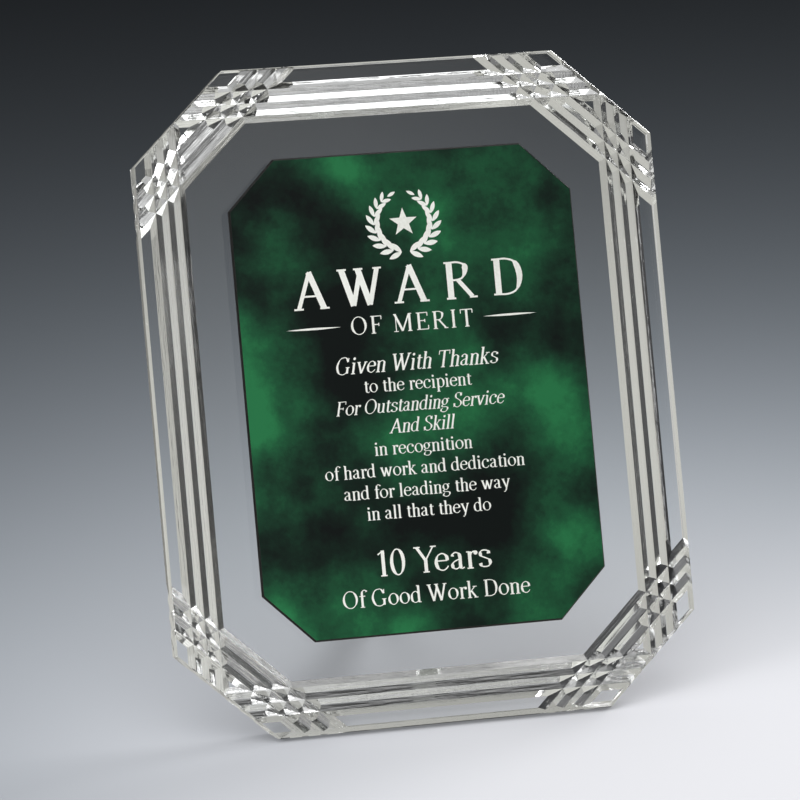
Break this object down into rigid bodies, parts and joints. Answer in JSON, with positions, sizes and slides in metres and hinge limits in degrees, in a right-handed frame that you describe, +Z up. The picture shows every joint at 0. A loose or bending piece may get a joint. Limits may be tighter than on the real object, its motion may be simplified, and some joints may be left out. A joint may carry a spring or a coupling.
{
  "type": "plaque award",
  "caption": "Free-standing clear octagonal plaque with carved V-grooves, a bonded marbled panel and a screw-in rear post.",
  "frame": {"origin": "centre of the ground flat on the plate's bottom back edge, at table level", "axes": "+Z up; +X to the right of someone facing the panel; the panel faces -Y and leans back towards +Y"},
  "size_m": [0.2032, 0.1217, 0.237],
  "materials": {
    "crystal": "polished",
    "clear_adhesive": "clear film",
    "black_core": "cut edge",
    "green_marble": "cloudy green, satin gloss",
    "brass": "machined",
    "steel": "zinc plated",
    "post_metal": "turned and polished",
    "nylon": "natural",
    "rubber": "moulded"
  },
  "bodies": {
    "award": {"crystal_plate": "crystal", "panel_film": "clear_adhesive", "panel_core": "black_core", "panel_face": "green_marble", "insert_glue": "clear_adhesive", "threaded_insert": "brass"},
    "washer": {"post_washer": "nylon"},
    "post": {"easel_post": "post_metal", "post_stud": "steel", "post_tip": "rubber"}
  },
  "joints": [
    {"name": "post_travel", "type": "slide", "parent": "award", "child": "washer", "axis": [0, 0.9272, -0.3746], "range_m": [0, 0.00635]},
    {"name": "post_turn", "type": "hinge", "parent": "washer", "child": "post", "pos_m": [0, 0.02007, 0.04209], "axis": [0, 0.9272, -0.3746], "range_deg": [0, 1800]}
  ],
  "couplings": [
    {"joint": "post_turn", "follows": "post_travel", "rad_per_m": 4947.4}
  ]
}
